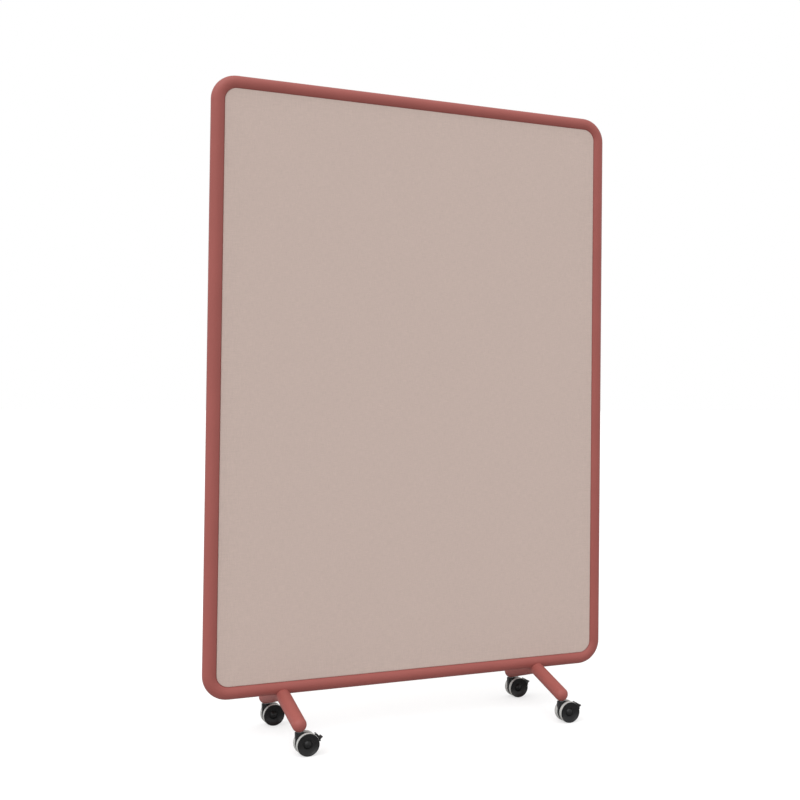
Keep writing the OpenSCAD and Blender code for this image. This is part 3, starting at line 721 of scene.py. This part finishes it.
class PARTITION_OT_wheel_bodies(bpy.types.Operator):
    """Dished wheel bodies with a dome in the middle and ribs on the inner side"""
    bl_idname = "partition.wheel_bodies"
    bl_label = "Wheel Bodies"
    bl_options = {"REGISTER", "UNDO"}

    RIBS = 8
    CELLS = 12
    DOME_STEPS = 12
    BEAD_STEPS = 6
    BEAD_TURN = math.radians(120)
    BEAD_SPREAD = 2.4       # width of the disc's rounded edge over its radius
    HOLLOW = range(3, 7)    # gaps between rings, from hub to rim, that a rib fills
    CREASE = math.radians(28)

    def execute(self, context):
        settings = context.scene.partition_casters
        for corner in CORNERS:
            axle_low, axle_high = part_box(f"{corner}_axle")
            centre = (axle_low + axle_high) / 2
            axle_r = (axle_high.z - axle_low.z) / 2
            for name, side in SIDES.items():
                low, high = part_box(f"{corner}_{name}_wheel")
                tyre_low, tyre_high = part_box(f"{corner}_{name}_tyre")
                start = (low.y if side > 0 else high.y) - centre.y
                bore_end = axle_high.y - centre.y - abs(start) + LOOSE
                rings = self.profile(settings, (high.z - low.z) / 2, high.y - low.y, axle_r,
                                     (tyre_high.z - tyre_low.z) / 2 - settings.tyre_depth)
                points, faces = self.form(settings, rings, bore_end, high.y - low.y - LOOSE, axle_r)
                placed = [centre + Vector((x, start + side * depth, z)) for x, depth, z in points]
                body = piece(f"{corner}_{name}_wheel_body", placed, faces, "wheel_black", f"{corner}_{name}_roller",
                             sharp=self.CREASE, closed=True)
                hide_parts(f"{corner}_{name}_wheel")
        return {"FINISHED"}

    def profile(self, settings, disc_r, width, axle_r, rim_r):
        """(radius, depth) of each ring but the bore's, from the hub's end round to the dome."""
        wall, boss_r = settings.wheel_wall, settings.dome_width / 2
        hub_r, inner_r, edge_r = axle_r + settings.hub_wall, rim_r - wall, settings.disc_edge / 2
        dish = width - settings.dish_depth
        rise = width - LOOSE - dish
        dome_r = (boss_r ** 2 + rise ** 2) / (2 * rise)
        brim = math.asin(boss_r / dome_r)
        dome = arc((0.0, width - LOOSE - dome_r), dome_r, math.pi / 2 - brim, math.pi / 2, self.DOME_STEPS)
        return ([(hub_r, 0.0), (hub_r, LOOSE), (hub_r, dish - wall), (boss_r + wall, dish - wall),
                 (inner_r, width - settings.disc_edge - wall), (inner_r, LOOSE), (rim_r, LOOSE),
                 (rim_r, width - settings.disc_edge), (disc_r, width - settings.disc_edge)]
                + arc((disc_r - edge_r, width - edge_r), edge_r, 0.0, self.BEAD_TURN, self.BEAD_STEPS)
                + [(disc_r - self.BEAD_SPREAD * edge_r, width - edge_r), (boss_r + wall, dish)] + dome[:-1])

    def form(self, settings, rings, bore_end, top, axle_r):
        """Points and faces of the body; the columns at the ribs skip the hollow between hub and rim."""
        bore_r, hub_r = axle_r + RUNNING, rings[0][0]
        rings = [(bore_r, bore_end), (bore_r, 0.0)] + rings
        count, points = self.RIBS * self.CELLS, [(0.0, bore_end, 0.0)]
        pitch = 2 * math.pi / self.RIBS
        for radius, depth in rings:
            half = math.asin(settings.rib_width / 2 / max(radius, hub_r))
            for k in range(count):
                rib, cell = divmod(k, self.CELLS)
                a = pitch * rib + half + (pitch - 2 * half) * cell / (self.CELLS - 1)
                points.append((radius * math.cos(a), depth, radius * math.sin(a)))
        points.append((0.0, top, 0.0))

        def at(ring, k):
            return 1 + ring * count + k % count

        first, last = self.HOLLOW[0], self.HOLLOW[-1] + 1
        faces = []
        for k in range(count):
            ribbed = k % self.CELLS == self.CELLS - 1
            faces.append((0, at(0, k), at(0, k + 1)))
            faces.append((len(points) - 1, at(len(rings) - 1, k + 1), at(len(rings) - 1, k)))
            for ring in range(len(rings) - 1):
                if not (ribbed and ring in self.HOLLOW):
                    faces.append((at(ring, k), at(ring, k + 1), at(ring + 1, k + 1), at(ring + 1, k)))
            if ribbed:
                faces.append((at(first, k), at(first, k + 1), at(last, k + 1), at(last, k)))
                for flank in (k, k + 1):
                    faces.append(tuple(at(ring, flank) for ring in range(first, last + 1)))
        return points, faces


def slab(outline, width):
    """A passing solid: an outline in X and Z, thick along Y about its middle."""
    mesh = bpy.data.meshes.new("slab")
    mesh.from_pydata([(x, y, z) for y in (width / 2, -width / 2) for x, z in outline], [],
                     ring_faces(2, len(outline), closed_ends=True))
    made = bpy.data.objects.new("slab", mesh)
    bpy.context.scene.collection.objects.link(made)
    return made


def fused(first, others, hole, rounding):
    """Points and faces of solids joined into one, with a hole cut and the edges rounded; it uses them up."""
    for solid, action in [(other, "UNION") for other in others] + [(hole, "DIFFERENCE")]:
        step = first.modifiers.new(action.lower(), "BOOLEAN")
        step.operation, step.solver, step.object = action, "EXACT", solid
    bevel = first.modifiers.new("rounding", "BEVEL")
    bevel.width, bevel.segments = rounding, 2
    bevel.limit_method, bevel.angle_limit = "ANGLE", math.radians(40)
    bpy.context.view_layer.update()
    result = first.evaluated_get(bpy.context.evaluated_depsgraph_get())
    mesh = result.to_mesh()
    points = [v.co.copy() for v in mesh.vertices]
    faces = [tuple(p.vertices) for p in mesh.polygons]
    result.to_mesh_clear()
    for solid in (first, *others, hole):
        data = solid.data
        bpy.data.objects.remove(solid)
        bpy.data.meshes.remove(data)
    return points, faces


class PARTITION_OT_brake_pedals(bpy.types.Operator):
    """Brake pedals in their free place: a shoe over both tyres, a lip, an arm and its hub"""
    bl_idname = "partition.brake_pedals"
    bl_label = "Brake Pedals"
    bl_options = {"REGISTER", "UNDO"}

    FLANKS = (math.radians(150), math.radians(-60))
    FEET = (math.radians(12), math.radians(39))
    ROOT_INSET = 0.0012
    HUB_WALL = 0.0026
    HUB_PROUD = 0.0001      # keeps the hub's sides off the arm's when they are joined
    SHOE_STEPS = 20
    TIP_STEPS = 12
    HUB_STEPS = 32
    CREASE = math.radians(35)

    def execute(self, context):
        settings = context.scene.partition_casters
        for corner in CORNERS:
            centre, tyre_r = self.middle(f"{corner}_front_tyre")
            hinge, pin_r = self.middle(f"{corner}_hinge_pin")
            low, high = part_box(f"{corner}_brake_pedal")
            centre.y = hinge.y
            points, faces = self.form(settings, (hinge - centre).xz, pin_r, tyre_r, high.y - low.y)
            pedal = piece(f"{corner}_pedal_moulding", [centre + p for p in points], faces, "caster_black",
                          f"{corner}_pedal", sharp=self.CREASE, closed=True)
            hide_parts(f"{corner}_brake_pedal")
        return {"FINISHED"}

    @staticmethod
    def middle(name):
        low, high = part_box(name)
        return (low + high) / 2, (high.z - low.z) / 2

    @staticmethod
    def spot(radius, angle):
        return radius * Vector((math.cos(angle), math.sin(angle)))

    def form(self, settings, hinge, pin_r, tyre_r, width):
        """Points and faces about the axle, on the swivel's middle plane."""
        inner = tyre_r + settings.shoe_gap
        outer, root = inner + settings.shoe_depth, inner + settings.shoe_depth / 2
        shoe = (arc((0, 0), outer, settings.shoe_start, settings.shoe_end, self.SHOE_STEPS)
                + arc((0, 0), inner, settings.shoe_end, settings.shoe_start, self.SHOE_STEPS))
        half = settings.shoe_depth / 2
        lean, foot = Matrix.Rotation(settings.lip_lean, 2), self.spot(root, settings.lip_root)
        lip = [foot + lean @ Vector(p) for p in
               [(0, -half)] + arc((settings.lip_length, 0), half, -math.pi / 2, math.pi / 2, self.TIP_STEPS)
               + [(0, half)]]
        hub_r = pin_r + self.HUB_WALL
        arm = ([hinge + self.spot(hub_r - self.ROOT_INSET, a) for a in self.FLANKS]
               + [self.spot(root, a) for a in self.FEET])
        steps = self.HUB_STEPS - 1
        full = 2 * math.pi * steps / self.HUB_STEPS
        return fused(slab(shoe, width),
                     [slab(lip, settings.lip_width), slab(arm, settings.arm_width),
                      slab(arc(hinge, hub_r, 0, full, steps), settings.arm_width + self.HUB_PROUD)],
                     slab(arc(hinge, pin_r + RUNNING, 0, full, steps), width), settings.edge_rounding)


# ---------------------------------------------------------------- finishes of the solids

class PARTITION_OT_finishes(bpy.types.Operator):
    """Procedural finishes on every solid of the frame, panels and casters"""
    bl_idname = "partition.finishes"
    bl_label = "Finishes"
    bl_options = {"REGISTER", "UNDO"}

    def execute(self, context):
        for name, solid in frame["nodes"].items():
            for holder in solid.material_slots:
                slot = holder.material.name.split(".")[0]
                if slot in FINISH_SLOTS:
                    holder.material = finish_for(slot)
                elif holder.material not in FINISHES.values():
                    raise RuntimeError(f"{name} has no known finish: {slot}")
        return {"FINISHED"}


FINISH_SLOTS = [m["slot"] for m in frame["record"]["materials"]]


# ---------------------------------------------------------------- stage

class PARTITION_OT_stage(bpy.types.Operator):
    """Pale floor, soft studio light and the camera"""
    bl_idname = "partition.stage"
    bl_label = "Stage"
    bl_options = {"REGISTER", "UNDO"}

    def execute(self, context):
        scene = context.scene
        settings = scene.partition_stage
        self.floor(settings)
        self.world(scene, settings)
        self.key(settings)
        data = bpy.data.cameras.new("photograph")
        data.lens = settings.lens
        data.sensor_width = 36.0
        data.shift_x, data.shift_y = settings.shift_across, settings.shift_up
        camera = bpy.data.objects.new("photograph", data)
        camera.location = settings.camera_place
        turns = ((-settings.camera_heading, "Z"), (math.pi / 2 + settings.camera_pitch, "X"),
                 (settings.camera_roll, "Z"))
        heading, pitch, roll = (Matrix.Rotation(angle, 3, axis) for angle, axis in turns)
        camera.rotation_euler = (heading @ pitch @ roll).to_euler()
        scene.collection.objects.link(camera)
        scene.camera = camera
        scene.view_settings.view_transform = "Standard"
        return {"FINISHED"}

    @staticmethod
    def seen(tree):
        """1 for what the camera sees straight and 0 for light on the object."""
        return tree.nodes.new("ShaderNodeLightPath").outputs["Is Camera Ray"]

    def floor(self, settings):
        half = settings.floor_size / 2
        mesh = bpy.data.meshes.new("floor")
        mesh.from_pydata([(-half, -half, 0), (half, -half, 0), (half, half, 0), (-half, half, 0)], [], [(0, 1, 2, 3)])
        made = bpy.data.objects.new("floor", mesh)
        bpy.context.scene.collection.objects.link(made)
        material = bpy.data.materials.new("pale_floor")
        material.use_nodes = True
        tree = material.node_tree
        shader = tree.nodes["Principled BSDF"]
        shader.inputs["Base Color"].default_value = (*[settings.floor_tone] * 3, 1.0)
        shader.inputs["Roughness"].default_value = 0.9
        shader.inputs["Specular IOR Level"].default_value = 0.1
        shader.inputs["Emission Color"].default_value = (1.0, 1.0, 1.0, 1.0)
        tree.links.new(maths(tree, "MULTIPLY", self.seen(tree), settings.floor_lift),
                       shader.inputs["Emission Strength"])
        mesh.materials.append(material)

    def world(self, scene, settings):
        world = bpy.data.worlds.new("studio")
        world.use_nodes = True
        tree = world.node_tree
        background = tree.nodes["Background"]
        background.inputs["Color"].default_value = (1.0, 1.0, 1.0, 1.0)
        tree.links.new(ranged(tree, self.seen(tree), settings.room_light, 1.0), background.inputs["Strength"])
        scene.world = world

    def key(self, settings):
        data = bpy.data.lights.new("key_light", "SUN")
        data.energy = settings.key_strength
        data.angle = settings.key_spread
        made = bpy.data.objects.new("key_light", data)
        made.rotation_euler = (-KEY_FROM).to_track_quat("-Z", "Y").to_euler()
        bpy.context.scene.collection.objects.link(made)


KEY_FROM = Vector((-0.5, -0.35, 0.79))


# ---------------------------------------------------------------- sidebar and running

OPERATORS = (
    PARTITION_OT_finishes, PARTITION_OT_foam_pads, PARTITION_OT_fabric_covers, PARTITION_OT_foot_welds,
    PARTITION_OT_wheel_bodies, PARTITION_OT_brake_pedals, PARTITION_OT_stage,
)
SETTINGS = {
    "partition_panel": PanelSettings,
    "partition_frame": FrameSettings,
    "partition_casters": CasterSettings,
    "partition_stage": StageSettings,
}


class PARTITION_PT_sidebar(bpy.types.Panel):
    """Lists the partition's pieces in the order in which they are made"""
    bl_label = "Partition"
    bl_idname = "PARTITION_PT_sidebar"
    bl_space_type = "VIEW_3D"
    bl_region_type = "UI"
    bl_category = "Partition"

    def draw(self, context):
        for key, group in SETTINGS.items():
            box = self.layout.box()
            box.label(text=group.__doc__)
            for name in group.__annotations__:
                box.prop(getattr(context.scene, key), name)
        for operator in OPERATORS:
            self.layout.operator(operator.bl_idname)


def register():
    for group in (*SETTINGS.values(), *OPERATORS, PARTITION_PT_sidebar):
        bpy.utils.register_class(group)
    for key, group in SETTINGS.items():
        setattr(bpy.types.Scene, key, bpy.props.PointerProperty(type=group))


def unregister():
    for key in SETTINGS:
        delattr(bpy.types.Scene, key)
    for group in reversed((*SETTINGS.values(), *OPERATORS, PARTITION_PT_sidebar)):
        bpy.utils.unregister_class(group)


def main():
    register()
    for operator in OPERATORS:
        category, name = operator.bl_idname.split(".")
        getattr(getattr(bpy.ops, category), name)()


if __name__ == "__main__":
    main()
